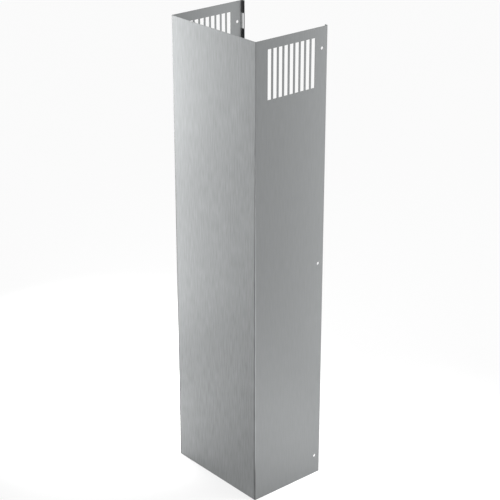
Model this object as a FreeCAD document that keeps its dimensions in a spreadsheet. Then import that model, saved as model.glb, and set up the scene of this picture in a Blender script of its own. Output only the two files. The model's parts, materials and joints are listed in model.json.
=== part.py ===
"""Cooker hood chimney section: one folded sheet of brushed stainless steel.

The sheet is bent four times into a tall channel that is open at the rear, at the top and at the bottom: a
front wall, two side walls and a narrow inward return along the rear edge of each side wall. Vent slots are
punched through both side walls near the top. Screw holes stand in a column near the rear edge of each side
wall. Hook slots lie in each return, level with the end screw holes, so that the section hangs either way up.

Frame: millimetres, +Z up, the front wall faces -Y, and the origin is the centre of the footprint.
"""
import FreeCAD, Part
import math
import os

import Sketcher

# Driving dimensions, in millimetres apart from the counts
DIMENSIONS = {
    "overall_width": 255.0,
    "overall_depth": 184.0,
    "section_length": 1000.0,
    "sheet_thickness": 0.8,
    # inside radii of the bends
    "front_bend_radius": 1.2,
    "rear_bend_radius": 0.3,
    # vent slots in the side walls
    "vent_slot_width": 9.0,
    "vent_slot_length": 100.0,
    "vent_bar_width": 5.0,
    "vent_top_margin": 20.0,
    "vent_front_margin": 30.4,
    "vent_rear_margin": 30.0,
    # screw holes in the side walls
    "screw_hole_diameter": 6.0,
    "screw_hole_count": 3,
    "screw_hole_end_margin": 43.4,
    "screw_hole_rear_margin": 14.0,
    # hook slots in the returns: gap from the bend, slot, and lip up to the return's free edge
    "hook_slot_bend_gap": 0.1,
    "hook_slot_width": 3.7,
    "hook_slot_lip": 2.6,
    "hook_slot_length": 33.0,
}

# Sizes that follow from the driving dimensions
HALF_WIDTH = "dims.overall_width / 2"
HALF_DEPTH = "dims.overall_depth / 2"
FRONT_OUTER_RADIUS = "dims.front_bend_radius + dims.sheet_thickness"
REAR_OUTER_RADIUS = "dims.rear_bend_radius + dims.sheet_thickness"
HOOK_SLOT_INSET = f"({REAR_OUTER_RADIUS} + dims.hook_slot_bend_gap + dims.hook_slot_width / 2)"
RETURN_WIDTH = f"({HOOK_SLOT_INSET} + dims.hook_slot_width / 2 + dims.hook_slot_lip)"
VENT_PITCH = "(dims.vent_slot_width + dims.vent_bar_width)"
VENT_RUN = "(dims.overall_depth - dims.vent_front_margin - dims.vent_rear_margin + dims.vent_bar_width)"
VENT_COUNT = f"floor({VENT_RUN} / {VENT_PITCH})"
HOLE_COLUMN = "dims.section_length - 2 * dims.screw_hole_end_margin"

ORIGIN = -1
START = 1
END = 2
CENTRE = 3


def vector(x, y):
    return FreeCAD.Vector(x, y, 0)


def make_sheet(doc):
    """The spreadsheet that holds the driving dimensions, one aliased cell each."""
    sheet = doc.addObject("Spreadsheet::Sheet", "dims")
    for row, (alias, value) in enumerate(DIMENSIONS.items(), start=1):
        sheet.set(f"A{row}", alias)
        sheet.set(f"B{row}", str(value))
        sheet.setAlias(f"B{row}", alias)
    doc.recompute()
    return sheet


def origin_feature(body, role):
    return next(feature for feature in body.Origin.OriginFeatures if feature.Role == role)


def new_sketch(body, name, plane_role):
    sketch = body.newObject("Sketcher::SketchObject", name)
    sketch.AttachmentSupport = [(origin_feature(body, plane_role), "")]
    sketch.MapMode = "FlatFace"
    return sketch


def value_of(sketch, expression):
    return float(sketch.evalExpression(expression))


def drive(sketch, kind, elements, expression):
    """A dimension of the sketch, bound to the spreadsheet."""
    constraint = Sketcher.Constraint(kind, *elements, value_of(sketch, expression))
    index = sketch.addConstraint(constraint)
    sketch.setExpression(f"Constraints[{index}]", expression)


def relate(sketch, kind, *elements):
    return sketch.addConstraint(Sketcher.Constraint(kind, *elements))


def fold_chain(sketch, bends, tip_inset, tip_height):
    """One face of the folded sheet, from the left return's free edge round to the right one's.

    Each bend is its centre, its radius and the angle at which its quarter circle starts. The chain holds
    lines and arcs in turn, tangent to each other, and its lines run level and upright in turn.
    """
    chain = []
    here = vector(-tip_inset, tip_height)
    for centre, radius, start_angle in bends:
        circle = Part.Circle(centre, FreeCAD.Vector(0, 0, 1), radius)
        arc = Part.ArcOfCircle(circle, start_angle, start_angle + math.pi / 2)
        chain.append(sketch.addGeometry(Part.LineSegment(here, arc.StartPoint), False))
        chain.append(sketch.addGeometry(arc, False))
        here = arc.EndPoint
    chain.append(sketch.addGeometry(Part.LineSegment(here, vector(tip_inset, tip_height)), False))

    for before, after in zip(chain, chain[1:]):
        relate(sketch, "Tangent", before, END, after, START)
    for order, line in enumerate(chain[::2]):
        relate(sketch, "Vertical" if order % 2 else "Horizontal", line)
    return chain


def section_sketch(body):
    """The folded sheet seen from above, drawn as its outer face, its inner face and two free edges."""
    sketch = new_sketch(body, "folded_section", "XY_Plane")
    half_width = value_of(sketch, HALF_WIDTH)
    half_depth = value_of(sketch, HALF_DEPTH)
    thickness = value_of(sketch, "dims.sheet_thickness")
    front_outer = value_of(sketch, FRONT_OUTER_RADIUS)
    rear_outer = value_of(sketch, REAR_OUTER_RADIUS)
    tip_inset = half_width - value_of(sketch, RETURN_WIDTH)

    front_y = -half_depth + front_outer
    rear_y = half_depth - rear_outer
    front_x = half_width - front_outer
    rear_x = half_width - rear_outer
    corners = [
        (vector(-rear_x, rear_y), rear_outer, math.pi / 2),
        (vector(-front_x, front_y), front_outer, math.pi),
        (vector(front_x, front_y), front_outer, 1.5 * math.pi),
        (vector(rear_x, rear_y), rear_outer, 0.0),
    ]
    inner_corners = [(centre, radius - thickness, angle) for centre, radius, angle in corners]
    outer = fold_chain(sketch, corners, tip_inset, half_depth)
    inner = fold_chain(sketch, inner_corners, tip_inset, half_depth - thickness)

    # the sheet's free edges close the outline at the tips of the returns
    for end, position in ((0, START), (-1, END)):
        tip_line = Part.LineSegment(
            sketch.getPoint(inner[end], position),
            sketch.getPoint(outer[end], position),
        )
        tip = sketch.addGeometry(tip_line, False)
        relate(sketch, "Coincident", tip, START, inner[end], position)
        relate(sketch, "Coincident", tip, END, outer[end], position)
        relate(sketch, "Vertical", tip)
        drive(sketch, "DistanceY", (tip, START, tip, END), "dims.sheet_thickness")

    # bends
    for chain, rear_radius, front_radius in (
        (outer, REAR_OUTER_RADIUS, FRONT_OUTER_RADIUS),
        (inner, "dims.rear_bend_radius", "dims.front_bend_radius"),
    ):
        rear_left, front_left, front_right, rear_right = chain[1::2]
        drive(sketch, "Radius", (rear_left,), rear_radius)
        drive(sketch, "Radius", (front_left,), front_radius)
        relate(sketch, "Equal", rear_left, rear_right)
        relate(sketch, "Equal", front_left, front_right)

    # walls
    left_return, left_wall, front_wall, right_wall, right_return = outer[::2]
    drive(sketch, "DistanceX", (left_wall, START, ORIGIN, START), HALF_WIDTH)
    drive(sketch, "DistanceX", (ORIGIN, START, right_wall, START), HALF_WIDTH)
    drive(sketch, "DistanceY", (front_wall, START, ORIGIN, START), HALF_DEPTH)
    drive(sketch, "DistanceY", (ORIGIN, START, left_return, START), HALF_DEPTH)
    drive(sketch, "DistanceY", (ORIGIN, START, right_return, END), HALF_DEPTH)
    drive(sketch, "DistanceX", (left_wall, START, left_return, START), RETURN_WIDTH)
    drive(sketch, "DistanceX", (right_return, END, right_wall, END), RETURN_WIDTH)

    # wall thickness
    _, left_inner, front_inner, right_inner, _ = inner[::2]
    drive(sketch, "DistanceX", (left_wall, START, left_inner, START), "dims.sheet_thickness")
    drive(sketch, "DistanceY", (front_wall, START, front_inner, START), "dims.sheet_thickness")
    drive(sketch, "DistanceX", (right_inner, START, right_wall, START), "dims.sheet_thickness")
    return sketch


def vent_sketch(body):
    """The vent slot nearest the front, seen from the side."""
    sketch = new_sketch(body, "vent_slot", "YZ_Plane")
    front = -value_of(sketch, HALF_DEPTH) + value_of(sketch, "dims.vent_front_margin")
    rear = front + value_of(sketch, "dims.vent_slot_width")
    top = value_of(sketch, "dims.section_length - dims.vent_top_margin")
    foot = top - value_of(sketch, "dims.vent_slot_length")
    corners = [vector(front, foot), vector(rear, foot), vector(rear, top), vector(front, top)]
    lines = []
    for here, there in zip(corners, corners[1:] + corners[:1]):
        lines.append(sketch.addGeometry(Part.LineSegment(here, there), False))
    for line, following in zip(lines, lines[1:] + lines[:1]):
        relate(sketch, "Coincident", line, END, following, START)
    lower, rear_side, upper, front_side = lines
    for line in (lower, upper):
        relate(sketch, "Horizontal", line)
    for line in (rear_side, front_side):
        relate(sketch, "Vertical", line)
    drive(sketch, "DistanceX", (lower, START, lower, END), "dims.vent_slot_width")
    drive(sketch, "DistanceY", (rear_side, START, rear_side, END), "dims.vent_slot_length")
    drive(sketch, "DistanceX", (lower, START, ORIGIN, START), f"{HALF_DEPTH} - dims.vent_front_margin")
    drive(
        sketch,
        "DistanceY",
        (ORIGIN, START, upper, START),
        "dims.section_length - dims.vent_top_margin",
    )
    return sketch


def screw_hole_sketch(body):
    """The lowest screw hole, seen from the side."""
    sketch = new_sketch(body, "screw_hole", "YZ_Plane")
    depth_place = f"{HALF_DEPTH} - dims.screw_hole_rear_margin"
    centre = vector(value_of(sketch, depth_place), value_of(sketch, "dims.screw_hole_end_margin"))
    radius = value_of(sketch, "dims.screw_hole_diameter / 2")
    hole = sketch.addGeometry(Part.Circle(centre, FreeCAD.Vector(0, 0, 1), radius), False)
    drive(sketch, "Diameter", (hole,), "dims.screw_hole_diameter")
    drive(sketch, "DistanceX", (ORIGIN, START, hole, CENTRE), depth_place)
    drive(sketch, "DistanceY", (ORIGIN, START, hole, CENTRE), "dims.screw_hole_end_margin")
    return sketch


def hook_slot_sketch(body):
    """The lower hook slot of each return, seen from the front: upright, with round ends, beside the wall."""
    sketch = new_sketch(body, "hook_slots", "XZ_Plane")
    inset = f"{HALF_WIDTH} - {HOOK_SLOT_INSET}"
    half_straight = "(dims.hook_slot_length - dims.hook_slot_width) / 2"
    lower_end = f"dims.screw_hole_end_margin - {half_straight}"
    upper_end = f"dims.screw_hole_end_margin + {half_straight}"
    radius = value_of(sketch, "dims.hook_slot_width / 2")
    low = value_of(sketch, lower_end)
    high = value_of(sketch, upper_end)
    for side in (-1, 1):
        middle = side * value_of(sketch, inset)
        axis = FreeCAD.Vector(0, 0, 1)
        top_circle = Part.Circle(vector(middle, high), axis, radius)
        foot_circle = Part.Circle(vector(middle, low), axis, radius)
        top_arc = sketch.addGeometry(Part.ArcOfCircle(top_circle, 0, math.pi), False)
        foot_arc = sketch.addGeometry(Part.ArcOfCircle(foot_circle, math.pi, 2 * math.pi), False)
        left_side = Part.LineSegment(vector(middle - radius, high), vector(middle - radius, low))
        right_side = Part.LineSegment(vector(middle + radius, low), vector(middle + radius, high))
        left_line = sketch.addGeometry(left_side, False)
        right_line = sketch.addGeometry(right_side, False)
        loop = [top_arc, left_line, foot_arc, right_line]
        for here, there in zip(loop, loop[1:] + loop[:1]):
            relate(sketch, "Tangent", here, END, there, START)
        relate(sketch, "Vertical", left_line)
        drive(sketch, "Radius", (top_arc,), "dims.hook_slot_width / 2")
        drive(sketch, "DistanceY", (ORIGIN, START, top_arc, CENTRE), upper_end)
        drive(sketch, "DistanceY", (ORIGIN, START, foot_arc, CENTRE), lower_end)
        across = (ORIGIN, START, top_arc, CENTRE) if side > 0 else (top_arc, CENTRE, ORIGIN, START)
        drive(sketch, "DistanceX", across, inset)
    return sketch


def punch(body, name, sketch, both_sides):
    """Cut the sketched hole through both side walls, or rearwards through the returns."""
    pocket = body.newObject("PartDesign::Pocket", name)
    pocket.Profile = sketch
    pocket.Type = "ThroughAll"
    pocket.Midplane = both_sides
    body.Tip = pocket
    return pocket


def repeat(body, name, original, axis_role, length, count):
    """Copies of a punched hole in a row along one of the body's axes."""
    pattern = body.newObject("PartDesign::LinearPattern", name)
    pattern.Originals = [original]
    pattern.Direction = (origin_feature(body, axis_role), [""])
    pattern.setExpression("Length", length)
    pattern.setExpression("Occurrences", count)
    body.Tip = pattern
    return pattern


def make_chimney_section(doc):
    body = doc.addObject("PartDesign::Body", "chimney_section")
    body.Label = "chimney_section"

    section = section_sketch(body)
    doc.recompute()
    walls = body.newObject("PartDesign::Pad", "walls")
    walls.Profile = section
    walls.setExpression("Length", "dims.section_length")
    doc.recompute()

    vent = punch(body, "vent", vent_sketch(body), True)
    repeat(body, "vents", vent, "Y_Axis", f"({VENT_COUNT} - 1) * {VENT_PITCH}", VENT_COUNT)
    doc.recompute()

    screw_hole = punch(body, "low_screw_hole", screw_hole_sketch(body), True)
    repeat(body, "screw_holes", screw_hole, "Z_Axis", HOLE_COLUMN, "dims.screw_hole_count")
    doc.recompute()

    hook_slot = punch(body, "low_hook_slots", hook_slot_sketch(body), False)
    repeat(body, "hook_slots_both_ends", hook_slot, "Z_Axis", HOLE_COLUMN, "2")
    doc.recompute()
    return body


def check(doc, bodies):
    """Stop before anything is written if a feature failed or a punch missed the sheet."""
    for item in doc.Objects:
        if "Invalid" in item.State or "Error" in item.State:
            raise RuntimeError(f"{item.Name} failed: {item.State}")
    for body in bodies:
        if body.Shape.isNull() or not body.Shape.isValid():
            raise RuntimeError(f"{body.Label} has no valid shape")
        if len(body.Shape.Solids) != 1:
            raise RuntimeError(f"{body.Label} is not one solid")
        solid_features = [item for item in body.Group if item.isDerivedFrom("PartDesign::Feature")]
        for before, after in zip(solid_features, solid_features[1:]):
            if not after.Shape.Volume < before.Shape.Volume:
                raise RuntimeError(f"{after.Name} cuts nothing")


def main():
    doc = FreeCAD.newDocument("chimney")
    make_sheet(doc)
    bodies = [make_chimney_section(doc)]
    doc.recompute()
    check(doc, bodies)
    os.makedirs("parts", exist_ok=True)
    for body in bodies:
        body.Shape.exportStep(f"parts/{body.Label}.step")
        print(f"{body.Label}: volume {body.Shape.Volume:.1f} mm3, {body.Shape.BoundBox}")


main()
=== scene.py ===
"""Looks of the cooker hood chimney section: the folded sheet with round bends and broken edges, its brushed
steel, a white floor, soft studio light and the photograph's camera. Metres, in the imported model's frame."""
import json
import math

import bpy
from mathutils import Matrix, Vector
from mathutils.geometry import delaunay_2d_cdt


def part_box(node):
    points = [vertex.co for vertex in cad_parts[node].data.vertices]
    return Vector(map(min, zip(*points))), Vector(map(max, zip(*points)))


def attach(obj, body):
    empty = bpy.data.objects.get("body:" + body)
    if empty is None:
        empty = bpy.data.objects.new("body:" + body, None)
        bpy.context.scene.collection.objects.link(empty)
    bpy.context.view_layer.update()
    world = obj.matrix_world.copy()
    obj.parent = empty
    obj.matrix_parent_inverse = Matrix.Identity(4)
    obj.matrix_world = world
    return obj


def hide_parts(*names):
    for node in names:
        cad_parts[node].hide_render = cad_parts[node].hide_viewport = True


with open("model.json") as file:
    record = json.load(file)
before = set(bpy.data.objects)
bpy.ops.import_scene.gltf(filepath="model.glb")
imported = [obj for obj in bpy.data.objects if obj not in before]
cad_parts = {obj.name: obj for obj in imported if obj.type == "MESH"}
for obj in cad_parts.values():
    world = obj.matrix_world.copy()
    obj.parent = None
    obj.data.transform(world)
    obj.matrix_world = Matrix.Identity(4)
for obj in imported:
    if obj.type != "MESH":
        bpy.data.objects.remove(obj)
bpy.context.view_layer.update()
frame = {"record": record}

MM = 0.001

# The sheet, as the CAD model has it
NODE = "chimney_section"
LOW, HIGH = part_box(NODE)
WIDTH = HIGH.x - LOW.x
DEPTH = HIGH.y - LOW.y
HEIGHT = HIGH.z - LOW.z
THICKNESS = 0.8 * MM
FRONT_BEND_RADIUS = 2.0 * MM
REAR_BEND_RADIUS = 1.1 * MM
RETURN_WIDTH = 7.5 * MM
EDGE_CHAMFER = 0.08 * MM
BEND_STEPS = 12
SHARP_ANGLE = math.radians(30)
POINT_DIGITS = 4

# Vent slots
VENT_COUNT = 9
VENT_WIDTH = 9.0 * MM
VENT_PITCH = 14.0 * MM
VENT_LENGTH = 100.0 * MM
VENT_TOP_MARGIN = 20.0 * MM
VENT_FRONT_MARGIN = 30.4 * MM

# Screw holes and hook slots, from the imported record's mounts
MOUNTS = {mount["name"]: mount for mount in frame["record"]["mounts"]}
SCREW_COUNT = 3
HOLE_END_STEPS = 20
SLOT_END_STEPS = 20

# Brushed steel: marks across and along the upright grain
GRAIN_MAP = "grain"
STREAK_WIDTH = 3.2 * MM
STREAK_LENGTH = 32.0 * MM
STREAK_DEPTH = 0.01 * MM
SCRATCH_WIDTH = 0.5 * MM
SCRATCH_LENGTH = 22.0 * MM
SCRATCH_DEPTH = 0.002 * MM
CLOUD_WIDTH = 45.0 * MM
CLOUD_LENGTH = 140.0 * MM
STREAK_DETAIL = 1.0
SCRATCH_DETAIL = 3.0
CLOUD_DETAIL = 1.0
STEEL = (0.23, 0.237, 0.239)
# the front's grain strength holds painted sheen on top of the grain
FRONT_GRAIN_AND_SHEEN = 0.61
SIDE_GRAIN = 0.23
GRAIN_FADE = 4.0 * MM
NOISE_MIDDLE = 0.5
NOISE_RANGE = (0.25, 0.75)
# shares of streaks, scratches and clouds
COLOUR_WEIGHTS = (0.6, 0.25, 0.15)
GLOSS_WEIGHTS = (0.4, 0.3, 0.3)
ROUGH_LOW = 0.41
ROUGH_HIGH = 0.49
BRUSHING = 0.05

# Painted highlight and painted shade along the front bends, by distance from the bend and by height
BEND_PAINTED_LIGHT = 0.44
BEND_HIGHLIGHT_AND_SHADE = (
    (-2.6 * MM, 0.0),
    (-1.2 * MM, -1.0),
    (0.4 * MM, -1.0),
    (1.3 * MM, 0.85),
    (2.5 * MM, 0.85),
    (3.6 * MM, 0.0),
)
HIGHLIGHT_TURNS_TO_SHADE = (60.0 * MM, 105.0 * MM)
BEND_PAINT_FADE = (550.0 * MM, 850.0 * MM)
FOOT_SHADE_DEEPENS = 1.5

# Floor
FLOOR_REACH = 12.0
FLOOR_WHITE = 0.93
FLOOR_PLAIN_SHARE = 0.6
SEEN_RAYS = ("Is Camera Ray", "Is Glossy Ray", "Is Transmission Ray")

# Studio light: an even white room, upright softboxes, and gridded lamps that light only the floor
ROOM_LIGHT = 0.97
SOFTBOXES = {
    "left_upper_softbox": {
        "place": (-0.572, -0.325, 0.86),
        "heading": 62.0,
        "width": 0.23,
        "height": 0.64,
        "radiance": 5.7,
    },
    "left_lower_softbox": {
        "place": (-0.572, -0.325, 0.3),
        "heading": 62.0,
        "width": 0.23,
        "height": 0.48,
        "radiance": 4.0,
    },
    "right_softbox": {
        "place": (0.376, 0.456, 0.66),
        "heading": 232.2,
        "width": 0.169,
        "height": 1.259,
        "radiance": 1.7,
    },
    "left_floor_lamp": {
        "place": (-0.52, 0.03, 1.674),
        "width": 0.337,
        "height": 0.26,
        "grid": 29.5,
        "radiance": 31.25,
    },
    "right_floor_lamp": {
        "place": (0.4, 0.2, 1.352),
        "width": 0.452,
        "height": 0.269,
        "grid": 40.4,
        "radiance": 6.4,
    },
    "front_floor_lamp": {
        "place": (0.78, -0.65, 1.6),
        "width": 0.25,
        "height": 0.25,
        "grid": 30.0,
        "radiance": 27.0,
    },
}

# Camera, at the photograph's angle
CAMERA_AZIMUTH = math.radians(49.390)
CAMERA_ELEVATION = math.radians(23.557)
CAMERA_PLACE = Vector((2.2546, -1.9297, 1.8037))
CAMERA_LENS = 112.14
CAMERA_SENSOR = 36.0


def flat_lengths():
    """Straight stretches of the sheet's outer face, from the left return's free edge to the right one's."""
    side = DEPTH - FRONT_BEND_RADIUS - REAR_BEND_RADIUS
    rear_return = RETURN_WIDTH - REAR_BEND_RADIUS
    return [rear_return, side, WIDTH - 2 * FRONT_BEND_RADIUS, side, rear_return]


BEND_RADII = [REAR_BEND_RADIUS, FRONT_BEND_RADIUS, FRONT_BEND_RADIUS, REAR_BEND_RADIUS]


def stretch_starts():
    """Where each straight stretch starts along the sheet, and the sheet's whole developed width."""
    starts = []
    along = 0.0
    for length, radius in zip(flat_lengths(), BEND_RADII + [0.0]):
        starts.append(along)
        along += length + radius * math.pi / 2
    return starts, along


STARTS, SHEET_WIDTH = stretch_starts()


def fold(along, depth):
    """Where the folded sheet lies, seen from above, at a developed width and depth below its face."""
    x = LOW.x + RETURN_WIDTH
    y = HIGH.y
    heading = math.pi
    for length, radius in zip(flat_lengths(), BEND_RADII + [None]):
        if along <= length or radius is None:
            x += math.cos(heading) * along
            y += math.sin(heading) * along
            break
        along -= length
        x += math.cos(heading) * length
        y += math.sin(heading) * length
        centre_x = x - math.sin(heading) * radius
        centre_y = y + math.cos(heading) * radius
        turn = min(along / radius, math.pi / 2)
        heading += turn
        x = centre_x + math.sin(heading) * radius
        y = centre_y - math.cos(heading) * radius
        along -= turn * radius
        if turn < math.pi / 2:
            break
    return x - math.sin(heading) * depth, y + math.cos(heading) * depth


def rectangle(low_x, low_y, high_x, high_y, grow):
    """Corners of a rectangular opening, grown by that much on each side."""
    return [
        (low_x - grow, low_y - grow),
        (high_x + grow, low_y - grow),
        (high_x + grow, high_y + grow),
        (low_x - grow, high_y + grow),
    ]


def slot_loop(centre_x, centre_y, radius, straight, steps, grow):
    """Outline of an upright slot with round ends, or of a round hole where nothing is straight."""
    loop = []
    for end, start_angle in ((1, 0.0), (-1, math.pi)):
        for step in range(steps + 1):
            angle = start_angle + math.pi * step / steps
            loop.append((
                centre_x + (radius + grow) * math.cos(angle),
                centre_y + end * straight / 2 + (radius + grow) * math.sin(angle),
            ))
    if straight == 0:
        del loop[steps]
        del loop[-1]
    return loop


def side_openings(start, towards_front):
    """Vent slots and screw holes of one side wall, as functions of how far their outline is grown."""
    openings = []

    def along_of(rear_distance):
        from_rear = rear_distance - REAR_BEND_RADIUS
        from_front = DEPTH - rear_distance - FRONT_BEND_RADIUS
        return start + (from_rear if towards_front else from_front)

    top = HEIGHT - VENT_TOP_MARGIN
    for count in range(VENT_COUNT):
        middle = VENT_FRONT_MARGIN + VENT_WIDTH / 2 + count * VENT_PITCH
        along = along_of(DEPTH - middle)
        openings.append(
            lambda grow, along=along: rectangle(
                along - VENT_WIDTH / 2, top - VENT_LENGTH, along + VENT_WIDTH / 2, top, grow
            )
        )
    upper = MOUNTS["right_screws_upper"]
    lower = MOUNTS["right_screws_lower"]
    radius = upper["dims"]["hole_r_mm"] * MM
    half_pitch = upper["dims"]["spacing_y_mm"] * MM / 2
    along = along_of(HIGH.y - upper["pos_m"][1])
    low_hole = lower["pos_m"][2] - half_pitch
    heights = [low_hole + 2 * half_pitch * count for count in range(SCREW_COUNT)]
    for height in heights:
        openings.append(
            lambda grow, height=height: slot_loop(along, height, radius, 0, HOLE_END_STEPS, grow)
        )
    return openings


def return_openings(start, from_free_edge):
    """Hook slots of one return."""
    mount = MOUNTS["right_hook_slots"]
    radius = mount["dims"]["hole_r_mm"] * MM
    straight = mount["dims"]["slot_length_mm"] * MM - 2 * radius
    from_wall = HIGH.x - mount["pos_m"][0]
    along = start + (RETURN_WIDTH - from_wall if from_free_edge else from_wall - REAR_BEND_RADIUS)
    half_pitch = mount["dims"]["spacing_y_mm"] * MM / 2
    openings = []
    for end in (-1, 1):
        height = mount["pos_m"][2] + end * half_pitch
        openings.append(
            lambda grow, height=height: slot_loop(along, height, radius, straight, SLOT_END_STEPS, grow)
        )
    return openings


class FlatPattern:
    """The unfolded sheet: faces on the developed plane, and where the cut wall stands for each edge point."""

    def __init__(self):
        self.points = []
        self.walls = []
        self.faces = []
        self.known = {}

    def point(self, at, wall=None):
        key = (round(at[0] / MM, POINT_DIGITS), round(at[1] / MM, POINT_DIGITS))
        if key not in self.known:
            self.known[key] = len(self.points)
            self.points.append(at)
            self.walls.append(self.sheet_edge(at))
        index = self.known[key]
        if wall is not None:
            self.walls[index] = wall
        return index

    @staticmethod
    def sheet_edge(at):
        """A point beside the sheet's own outline has its wall on that outline."""
        along, height = at
        tiny = EDGE_CHAMFER / 10
        if abs(along - EDGE_CHAMFER) < tiny:
            along = 0.0
        if abs(along - SHEET_WIDTH + EDGE_CHAMFER) < tiny:
            along = SHEET_WIDTH
        if abs(height - EDGE_CHAMFER) < tiny:
            height = 0.0
        if abs(height - HEIGHT + EDGE_CHAMFER) < tiny:
            height = HEIGHT
        return along, height

    def add_panel(self, start, end, openings):
        """A flat stretch with its openings cut out."""
        foot = EDGE_CHAMFER
        top = HEIGHT - EDGE_CHAMFER
        loops = [([(start, foot), (end, foot), (end, top), (start, top)], None)]
        for opening in openings:
            loops.append((opening(EDGE_CHAMFER), opening(0.0)))
        places = []
        outlines = []
        numbers = []
        for outline, wall in loops:
            first = len(places)
            places.extend(Vector(at) for at in outline)
            outlines.append(list(range(first, len(places))))
            for step, at in enumerate(outline):
                numbers.append(self.point(at, wall[step] if wall else None))
        inside_with_holes = 2
        tiny = EDGE_CHAMFER / 100
        found = delaunay_2d_cdt(places, [], outlines, inside_with_holes, tiny)
        _, _, faces, places_in, _, _ = found
        for face in faces:
            self.faces.append([numbers[places_in[corner][0]] for corner in face])

    def add_bend(self, start, length):
        """A bend, as a row of narrow strips from the foot to the top."""
        for step in range(BEND_STEPS):
            left = start + length * step / BEND_STEPS
            right = start + length * (step + 1) / BEND_STEPS
            foot = EDGE_CHAMFER
            top = HEIGHT - EDGE_CHAMFER
            corners = [(left, foot), (right, foot), (right, top), (left, top)]
            self.faces.append([self.point(at) for at in corners])


def make_flat_pattern():
    """The five flat stretches with their openings, and the four bends between them."""
    pattern = FlatPattern()
    lengths = flat_lengths()
    openings = [
        return_openings(STARTS[0], True),
        side_openings(STARTS[1], True),
        [],
        side_openings(STARTS[3], False),
        return_openings(STARTS[4], False),
    ]
    for order, (start, length) in enumerate(zip(STARTS, lengths)):
        end = start + length
        if order < len(BEND_RADII):
            pattern.add_bend(end, BEND_RADII[order] * math.pi / 2)
        else:
            end -= EDGE_CHAMFER
        if order == 0:
            start += EDGE_CHAMFER
        pattern.add_panel(start, end, openings[order])
    return pattern


def build_sheet(material):
    """Fold the pattern up: outer face, inner face, and the chamfered cut wall along every free edge."""
    pattern = make_flat_pattern()
    count = len(pattern.points)
    layers = [
        (pattern.points, 0.0),
        (pattern.walls, EDGE_CHAMFER),
        (pattern.walls, THICKNESS - EDGE_CHAMFER),
        (pattern.points, THICKNESS),
    ]
    vertices = []
    grain = []
    for places, depth in layers:
        for along, height in places:
            x, y = fold(along, depth)
            vertices.append((x, y, LOW.z + height))
            grain.append((along + depth, height))

    edge_uses = {}
    for face in pattern.faces:
        for here, there in zip(face, face[1:] + face[:1]):
            edge_uses[(here, there)] = True
    faces = [list(face) for face in pattern.faces]
    steps_down = len(layers) - 1
    faces += [[corner + steps_down * count for corner in reversed(face)] for face in pattern.faces]
    for here, there in edge_uses:
        if (there, here) in edge_uses:
            continue
        for layer in range(steps_down):
            near = layer * count
            far = near + count
            faces.append([there + near, here + near, here + far, there + far])

    mesh = bpy.data.meshes.new("brushed_sheet")
    mesh.from_pydata(vertices, [], faces)
    layer = mesh.uv_layers.new(name=GRAIN_MAP)
    for loop in mesh.loops:
        layer.data[loop.index].uv = grain[loop.vertex_index]
    mesh.validate()
    mesh.shade_smooth()
    mesh.set_sharp_from_angle(angle=SHARP_ANGLE)
    mesh.materials.append(material)
    sheet = bpy.data.objects.new("brushed_sheet", mesh)
    bpy.context.scene.collection.objects.link(sheet)
    smooth = sheet.modifiers.new("flat faces keep their normals", "WEIGHTED_NORMAL")
    smooth.keep_sharp = True
    return sheet


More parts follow.
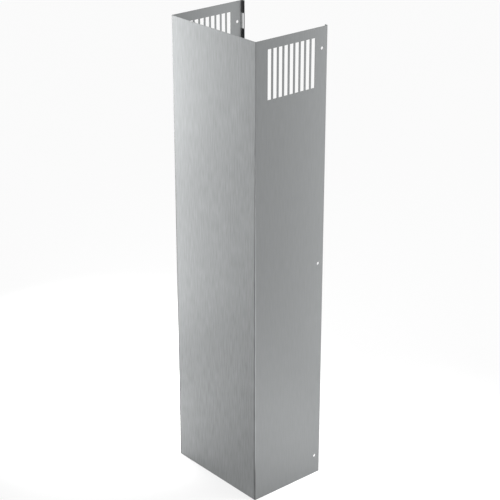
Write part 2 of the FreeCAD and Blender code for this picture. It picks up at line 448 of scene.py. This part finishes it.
class NodeGraph:
    """Short ways to add nodes to one material."""

    def __init__(self, tree):
        self.tree = tree

    def add(self, kind, **settings):
        node = self.tree.nodes.new(kind)
        for name, value in settings.items():
            setattr(node, name, value)
        return node

    def join(self, source, target):
        self.tree.links.new(source, target)

    def grain(self, across, along, detail):
        """Noise drawn out along the brushing, by the size of its marks across and along the grain."""
        where = self.add("ShaderNodeUVMap", uv_map=GRAIN_MAP)
        scale = self.add("ShaderNodeMapping")
        scale.inputs["Scale"].default_value = (1 / across, 1 / along, 1.0)
        noise = self.add("ShaderNodeTexNoise", noise_dimensions="2D")
        noise.inputs["Scale"].default_value = 1.0
        noise.inputs["Detail"].default_value = detail
        self.join(where.outputs["UV"], scale.inputs["Vector"])
        self.join(scale.outputs["Vector"], noise.inputs["Vector"])
        return noise.outputs["Fac"]

    def largest(self, sources):
        """The largest of the sources."""
        top = sources[0]
        for source in sources[1:]:
            step = self.add("ShaderNodeMath", operation="MAXIMUM")
            self.join(top, step.inputs[0])
            self.join(source, step.inputs[1])
            top = step.outputs[0]
        return top

    def weighted_sum(self, parts):
        """Sum of each source times its weight."""
        total = None
        for source, weight in parts:
            step = self.add("ShaderNodeMath", operation="MULTIPLY_ADD")
            self.join(source, step.inputs[0])
            step.inputs[1].default_value = weight
            if total is None:
                step.inputs[2].default_value = 0.0
            else:
                self.join(total, step.inputs[2])
            total = step.outputs[0]
        return total

    def bump(self, height, depth, under=None):
        """Relief of that depth, laid over another relief where one is given."""
        node = self.add("ShaderNodeBump")
        node.inputs["Distance"].default_value = depth
        self.join(height, node.inputs["Height"])
        if under is not None:
            self.join(under, node.inputs["Normal"])
        return node.outputs["Normal"]

    def math(self, operation, *sources):
        """One sum, each source a socket or a number."""
        node = self.add("ShaderNodeMath", operation=operation)
        for source, target in zip(sources, node.inputs):
            if isinstance(source, float):
                target.default_value = source
            else:
                self.join(source, target)
        return node.outputs[0]

    def spread(self, source, source_range, target_range, clamp=False):
        """The source's range, spread over the target's."""
        node = self.add("ShaderNodeMapRange", clamp=clamp)
        node.inputs["From Min"].default_value, node.inputs["From Max"].default_value = source_range
        node.inputs["To Min"].default_value, node.inputs["To Max"].default_value = target_range
        self.join(source, node.inputs["Value"])
        return node.outputs["Result"]

    def sheet_place(self):
        """How far the surface lies from the middle of the front along the unfolded sheet, and how high."""
        where = self.add("ShaderNodeUVMap", uv_map=GRAIN_MAP)
        split = self.add("ShaderNodeSeparateXYZ")
        self.join(where.outputs["UV"], split.inputs["Vector"])
        from_middle = self.math("ABSOLUTE", self.math("SUBTRACT", split.outputs["X"], SHEET_WIDTH / 2))
        return from_middle, split.outputs["Y"]

    def profile(self, source, stops):
        """A smooth line through the stops, each a place and a level from -1 to 1."""
        first = stops[0][0]
        last = stops[-1][0]
        ramp = self.add("ShaderNodeValToRGB")
        ramp.color_ramp.interpolation = "EASE"
        elements = ramp.color_ramp.elements
        while len(elements) < len(stops):
            elements.new(1.0)
        for element, (at, level) in zip(elements, stops):
            element.position = (at - first) / (last - first)
            grey = (level + 1) / 2
            element.color = (grey, grey, grey, 1.0)
        self.join(self.spread(source, (first, last), (0.0, 1.0), True), ramp.inputs["Fac"])
        return self.spread(ramp.outputs["Color"], (0.0, 1.0), (-1.0, 1.0))


def brushed_steel():
    """Stainless steel with an upright brushed grain in its colour, gloss and relief, and a painted highlight
    and painted shade along the front bends in its colour.
    """
    material = bpy.data.materials.new("brushed_steel")
    material.use_nodes = True
    graph = NodeGraph(material.node_tree)
    shader = material.node_tree.nodes["Principled BSDF"]
    shader.inputs["Metallic"].default_value = 1.0
    shader.inputs["Anisotropic"].default_value = BRUSHING

    streaks = graph.grain(STREAK_WIDTH, STREAK_LENGTH, STREAK_DETAIL)
    scratches = graph.grain(SCRATCH_WIDTH, SCRATCH_LENGTH, SCRATCH_DETAIL)
    clouds = graph.grain(CLOUD_WIDTH, CLOUD_LENGTH, CLOUD_DETAIL)

    # the grain is the steel's own, and the front's is painted stronger than the sides' as painted sheen from
    # the light on the front
    from_middle, height = graph.sheet_place()
    bend = WIDTH / 2 - FRONT_BEND_RADIUS
    strength = graph.spread(from_middle, (bend, bend + GRAIN_FADE), (FRONT_GRAIN_AND_SHEEN, SIDE_GRAIN), True)
    noises = (streaks, scratches, clouds)
    marks = graph.weighted_sum(zip(noises, COLOUR_WEIGHTS))
    grain = graph.math("MULTIPLY", graph.math("SUBTRACT", marks, NOISE_MIDDLE), strength)

    # the front bends get a painted shade line, which deepens near the foot, and a painted highlight line,
    # which turns to painted shade there; both fade out towards the top
    bend_light_stops = [(bend + place, level) for place, level in BEND_HIGHLIGHT_AND_SHADE]
    fade = graph.spread(height, BEND_PAINT_FADE, (1.0, 0.0), True)
    bend_light_profile = graph.math("MULTIPLY", graph.profile(from_middle, bend_light_stops), fade)
    turn = graph.spread(height, HIGHLIGHT_TURNS_TO_SHADE, (-1.0, 1.0), True)
    painted_highlight = graph.math("MULTIPLY", graph.math("MAXIMUM", bend_light_profile, 0.0), turn)
    deepen = graph.spread(height, HIGHLIGHT_TURNS_TO_SHADE, (FOOT_SHADE_DEEPENS, 1.0), True)
    painted_shade = graph.math("MULTIPLY", graph.math("MINIMUM", bend_light_profile, 0.0), deepen)
    bend_highlight_and_shade = graph.math("ADD", painted_highlight, painted_shade)
    # the painted highlight and painted shade of the bends are added to the steel's colour
    tone = graph.weighted_sum([(grain, 1.0), (bend_highlight_and_shade, BEND_PAINTED_LIGHT)])
    colour = graph.add("ShaderNodeVectorMath", operation="SCALE")
    colour.inputs[0].default_value = STEEL
    graph.join(graph.math("ADD", tone, 1.0), colour.inputs["Scale"])
    graph.join(colour.outputs["Vector"], shader.inputs["Base Color"])

    gloss = graph.weighted_sum(zip(noises, GLOSS_WEIGHTS))
    graph.join(graph.spread(gloss, NOISE_RANGE, (ROUGH_LOW, ROUGH_HIGH)), shader.inputs["Roughness"])

    ripple = graph.bump(streaks, STREAK_DEPTH)
    relief = graph.bump(scratches, SCRATCH_DEPTH, ripple)
    graph.join(relief, shader.inputs["Normal"])

    tangent = graph.add("ShaderNodeTangent", direction_type="UV_MAP", uv_map=GRAIN_MAP)
    graph.join(tangent.outputs["Tangent"], shader.inputs["Tangent"])
    return material


def make_softbox(name, place, width, height, radiance, heading=None, grid=180.0):
    """A rectangular lamp: upright and facing level by its heading from +X, or hung level and facing down.
    A grid keeps its light within that angle. Radiance 1 is white."""
    data = bpy.data.lights.new(name, "AREA")
    data.shape = "RECTANGLE"
    data.size = width
    data.size_y = height
    data.spread = math.radians(grid)
    data.energy = radiance * math.pi * width * height
    lamp = bpy.data.objects.new(name, data)
    lamp.location = place
    if heading is not None:
        facing = Vector((math.cos(math.radians(heading)), math.sin(math.radians(heading)), 0.0))
        lamp.rotation_mode = "QUATERNION"
        lamp.rotation_quaternion = facing.to_track_quat("-Z", "Y")
    bpy.context.scene.collection.objects.link(lamp)


def floor_paint():
    """Matt white, of which a part is plain white where it is seen or mirrored, so that shadows stay pale."""
    material = bpy.data.materials.new("floor_paint")
    material.use_nodes = True
    graph = NodeGraph(material.node_tree)
    matt = material.node_tree.nodes["Principled BSDF"]
    matt.inputs["Base Color"].default_value = (FLOOR_WHITE, FLOOR_WHITE, FLOOR_WHITE, 1.0)
    matt.inputs["Roughness"].default_value = 1.0
    matt.inputs["Specular IOR Level"].default_value = 0.0
    plain = graph.add("ShaderNodeEmission")
    plain.inputs["Color"].default_value = (1.0, 1.0, 1.0, 1.0)
    plain.inputs["Strength"].default_value = 1.0
    material.cycles.emission_sampling = "NONE"
    path = graph.add("ShaderNodeLightPath")
    seen = graph.largest([path.outputs[name] for name in SEEN_RAYS])
    share = graph.weighted_sum([(seen, FLOOR_PLAIN_SHARE)])
    mix = graph.add("ShaderNodeMixShader")
    graph.join(share, mix.inputs["Fac"])
    graph.join(matt.outputs["BSDF"], mix.inputs[1])
    graph.join(plain.outputs["Emission"], mix.inputs[2])
    graph.join(mix.outputs["Shader"], material.node_tree.nodes["Material Output"].inputs["Surface"])
    return material


def make_floor():
    mesh = bpy.data.meshes.new("floor")
    corners = [(x * FLOOR_REACH, y * FLOOR_REACH, 0.0) for x, y in ((-1, -1), (1, -1), (1, 1), (-1, 1))]
    mesh.from_pydata(corners, [], [(0, 1, 2, 3)])
    mesh.materials.append(floor_paint())
    floor = bpy.data.objects.new("floor", mesh)
    floor.location.z = LOW.z
    bpy.context.scene.collection.objects.link(floor)


def make_world():
    world = bpy.data.worlds.new("studio")
    world.use_nodes = True
    background = world.node_tree.nodes["Background"]
    background.inputs["Color"].default_value = (1.0, 1.0, 1.0, 1.0)
    background.inputs["Strength"].default_value = ROOM_LIGHT
    bpy.context.scene.world = world


def make_camera():
    data = bpy.data.cameras.new("camera")
    data.lens = CAMERA_LENS
    data.sensor_width = CAMERA_SENSOR
    camera = bpy.data.objects.new("camera", data)
    camera.location = CAMERA_PLACE
    back = Vector((
        math.sin(CAMERA_AZIMUTH) * math.cos(CAMERA_ELEVATION),
        -math.cos(CAMERA_AZIMUTH) * math.cos(CAMERA_ELEVATION),
        math.sin(CAMERA_ELEVATION),
    ))
    camera.rotation_mode = "QUATERNION"
    camera.rotation_quaternion = (-back).to_track_quat("-Z", "Y")
    bpy.context.scene.collection.objects.link(camera)
    bpy.context.scene.camera = camera


bpy.context.scene.view_settings.view_transform = "Standard"
steel = brushed_steel()
sheet = build_sheet(steel)
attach(sheet, "root")
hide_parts(NODE)
make_floor()
make_world()
for name, settings in SOFTBOXES.items():
    make_softbox(name, **settings)
make_camera()
